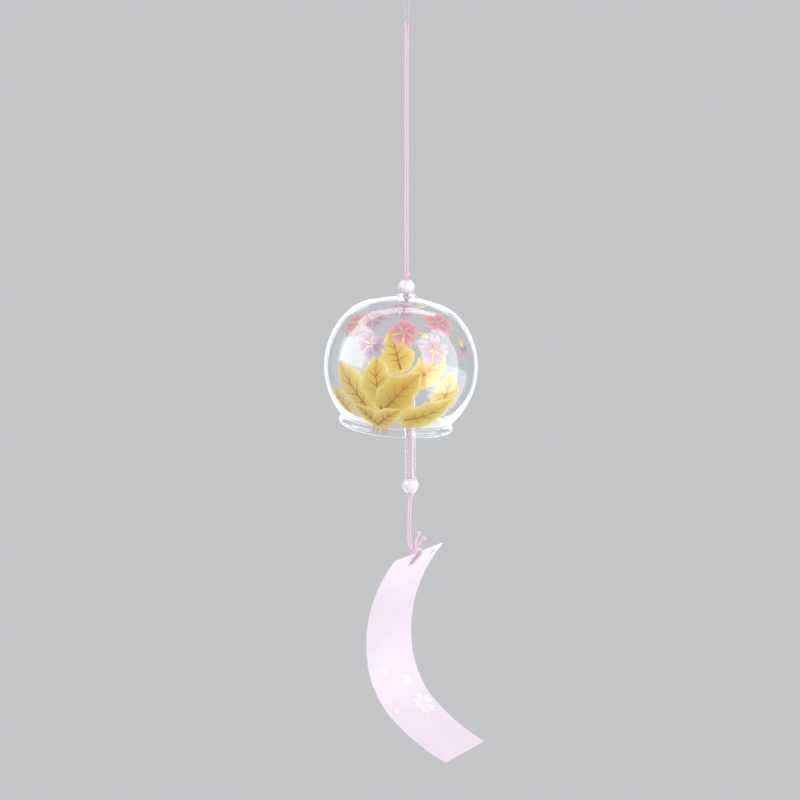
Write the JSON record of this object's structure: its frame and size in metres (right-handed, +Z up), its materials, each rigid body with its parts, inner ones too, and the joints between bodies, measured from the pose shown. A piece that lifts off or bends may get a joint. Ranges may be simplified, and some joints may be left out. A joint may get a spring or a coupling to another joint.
{
  "type": "furin wind bell",
  "caption": "Round glass wind bell on a folded cord, with a glass tube that strikes it, round beads and a curled paper strip that catches the wind.",
  "frame": {"origin": "the point inside the top of the hanging line where a hook carries it", "axes": "+Z up along the cord, +X to the right and +Y away from someone who looks at the side shown in the picture"},
  "size_m": [0.085, 0.08, 0.4079],
  "materials": {
    "nylon": "gloss",
    "cord": "woven",
    "bead": "frosted",
    "glass": "clear",
    "tube_glass": "clear",
    "paper": "matte"
  },
  "bodies": {
    "line": {"hanging_line": "nylon", "line_knot": "nylon"},
    "cord": {"upper_cord": "cord", "top_knot": "cord", "neck_cord": "cord", "inner_knot": "cord"},
    "bead": {"top_bead": "bead"},
    "bell": {"glass_bell": "glass"},
    "clapper": {"clapper_tube": "tube_glass", "tube_cord": "cord", "lower_bead": "bead"},
    "knot": {"lower_knot": "cord"},
    "tail": {"tail_cord": "cord", "paper_knot": "cord", "cord_ends": "cord"},
    "paper": {"paper_loop": "cord", "paper_strip": "paper"}
  },
  "joints": [
    {"name": "cord_swing", "type": "hinge", "parent": "line", "child": "cord", "pos_m": [0, 0, -0.01678], "axis": [0, 1, 0], "range_deg": [-35, 35]},
    {"name": "bell_turn", "type": "hinge", "parent": "cord", "child": "bead", "pos_m": [0, 0, -0.153], "axis": [0, 0, 1], "continuous": true},
    {"name": "bell_tilt", "type": "hinge", "parent": "bead", "child": "bell", "pos_m": [0, 0, -0.16138], "axis": [0, 1, 0], "range_deg": [-4.9, 0.4]},
    {"name": "clapper_swing", "type": "hinge", "parent": "cord", "child": "clapper", "pos_m": [0, 0, -0.16138], "axis": [0, 1, 0], "range_deg": [-14.1, 17.4]},
    {"name": "paper_turn", "type": "hinge", "parent": "clapper", "child": "knot", "pos_m": [0.00222, 0, -0.26405], "axis": [-0.007, 0, 1], "continuous": true},
    {"name": "tail_swing", "type": "hinge", "parent": "knot", "child": "tail", "pos_m": [0.00222, 0, -0.26405], "axis": [0, 1, 0], "range_deg": [-35, 35]},
    {"name": "paper_swing", "type": "hinge", "parent": "tail", "child": "paper", "pos_m": [0.00484, 0, -0.29385], "axis": [0.6307, 0.776, 0], "range_deg": [-30, 30]}
  ]
}
